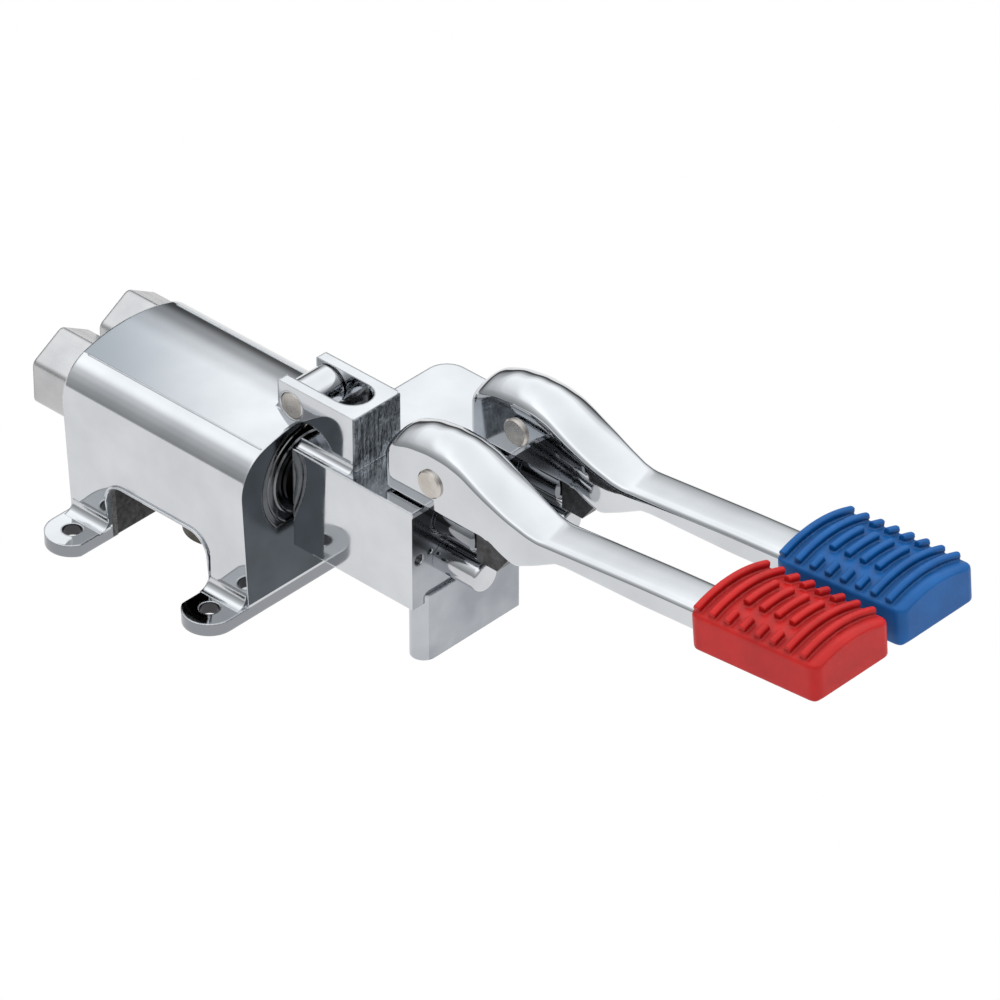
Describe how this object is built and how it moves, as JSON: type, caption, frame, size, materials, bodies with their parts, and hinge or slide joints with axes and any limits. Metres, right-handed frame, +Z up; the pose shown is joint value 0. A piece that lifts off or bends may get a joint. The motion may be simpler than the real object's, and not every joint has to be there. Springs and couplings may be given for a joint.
{
  "type": "pedal valve",
  "caption": "Floor-mounted pedal mixing valve: domed cast housing with hexagonal pipe inlets and a hinged front block that carries lever pedals with ribbed rubber pads.",
  "frame": {"origin": "on the floor, in the middle of the four foot holes of the housing", "axes": "+Z up, +Y to the rear where the pipe inlets are, -Y towards the pedals, +X to the right seen from the pedals' side looking at the housing"},
  "size_m": [0.115, 0.326, 0.088],
  "materials": {
    "polished_chrome": "mirror polished",
    "satin_chrome": "satin",
    "plated_steel": "turned, satin",
    "spring_steel": "drawn wire",
    "brass": "as cast and turned",
    "seal_rubber": "moulded",
    "red_rubber": "glossy moulded",
    "blue_rubber": "glossy moulded"
  },
  "bodies": {
    "housing": {"body_housing": "polished_chrome", "valve_chest": "brass", "gland_cap": "plated_steel", "stem_seal": "seal_rubber", "cold_seat": "brass", "hot_seat": "brass", "cold_valve_spring": "spring_steel", "hot_valve_spring": "spring_steel", "inlet_union_left": "satin_chrome", "inlet_union_right": "satin_chrome", "inlet_strainer_left": "plated_steel", "inlet_strainer_right": "plated_steel"},
    "carriage": {"front_block": "polished_chrome", "front_foot": "polished_chrome", "block_cover": "plated_steel", "cover_screws": "plated_steel", "grub_screws": "plated_steel", "hinge_pin": "plated_steel", "pivot_pin_hot": "plated_steel", "pivot_pin_cold": "plated_steel", "rod_bush_hot": "plated_steel", "rod_bush_cold": "plated_steel", "bump_stop_hot": "plated_steel", "bump_stop_cold": "plated_steel", "return_spring_hot": "spring_steel", "return_spring_cold": "spring_steel"},
    "hot_pedal": {"pedal_lever_hot": "polished_chrome", "pedal_pad_hot": "red_rubber"},
    "cold_pedal": {"pedal_lever_cold": "polished_chrome", "pedal_pad_cold": "blue_rubber"},
    "hot_rod": {"push_rod_hot": "plated_steel", "transfer_plate_hot": "plated_steel"},
    "cold_rod": {"push_rod_cold": "plated_steel", "transfer_bar_cold": "plated_steel"},
    "hot_valve": {"hot_stem": "brass"},
    "cold_valve": {"cold_sleeve": "brass"}
  },
  "joints": [
    {"name": "carriage_lift", "type": "hinge", "parent": "housing", "child": "carriage", "pos_m": [0.0037, -0.04195, 0.0746], "axis": [-1, 0, 0], "range_deg": [0, 75]},
    {"name": "hot_press", "type": "hinge", "parent": "carriage", "child": "hot_pedal", "pos_m": [0.0037, -0.1037, 0.0728], "axis": [1, 0, 0], "range_deg": [0, 12], "stiffness_Nm_per_rad": 6, "springref_deg": -14.32},
    {"name": "hot_rod_slide", "type": "slide", "parent": "carriage", "child": "hot_rod", "axis": [0, 1, 0], "range_m": [0, 0.004], "deforming": ["return_spring_hot"]},
    {"name": "hot_valve_slide", "type": "slide", "parent": "housing", "child": "hot_valve", "axis": [0, 1, 0], "range_m": [0, 0.004], "deforming": ["hot_valve_spring"]},
    {"name": "cold_press", "type": "hinge", "parent": "carriage", "child": "cold_pedal", "pos_m": [0.0441, -0.1037, 0.0728], "axis": [1, 0, 0], "range_deg": [0, 12], "stiffness_Nm_per_rad": 6, "springref_deg": -14.32},
    {"name": "cold_rod_slide", "type": "slide", "parent": "carriage", "child": "cold_rod", "axis": [0, 1, 0], "range_m": [0, 0.004], "deforming": ["return_spring_cold"]},
    {"name": "cold_valve_slide", "type": "slide", "parent": "housing", "child": "cold_valve", "axis": [0, 1, 0], "range_m": [0, 0.004], "deforming": ["cold_valve_spring"]}
  ],
  "couplings": [
    {"joint": "hot_rod_slide", "follows": "hot_press", "m_per_rad": 0.0185},
    {"joint": "hot_valve_slide", "follows": "hot_press", "m_per_rad": 0.0185},
    {"joint": "cold_rod_slide", "follows": "cold_press", "m_per_rad": 0.0185},
    {"joint": "cold_valve_slide", "follows": "cold_press", "m_per_rad": 0.0185}
  ]
}
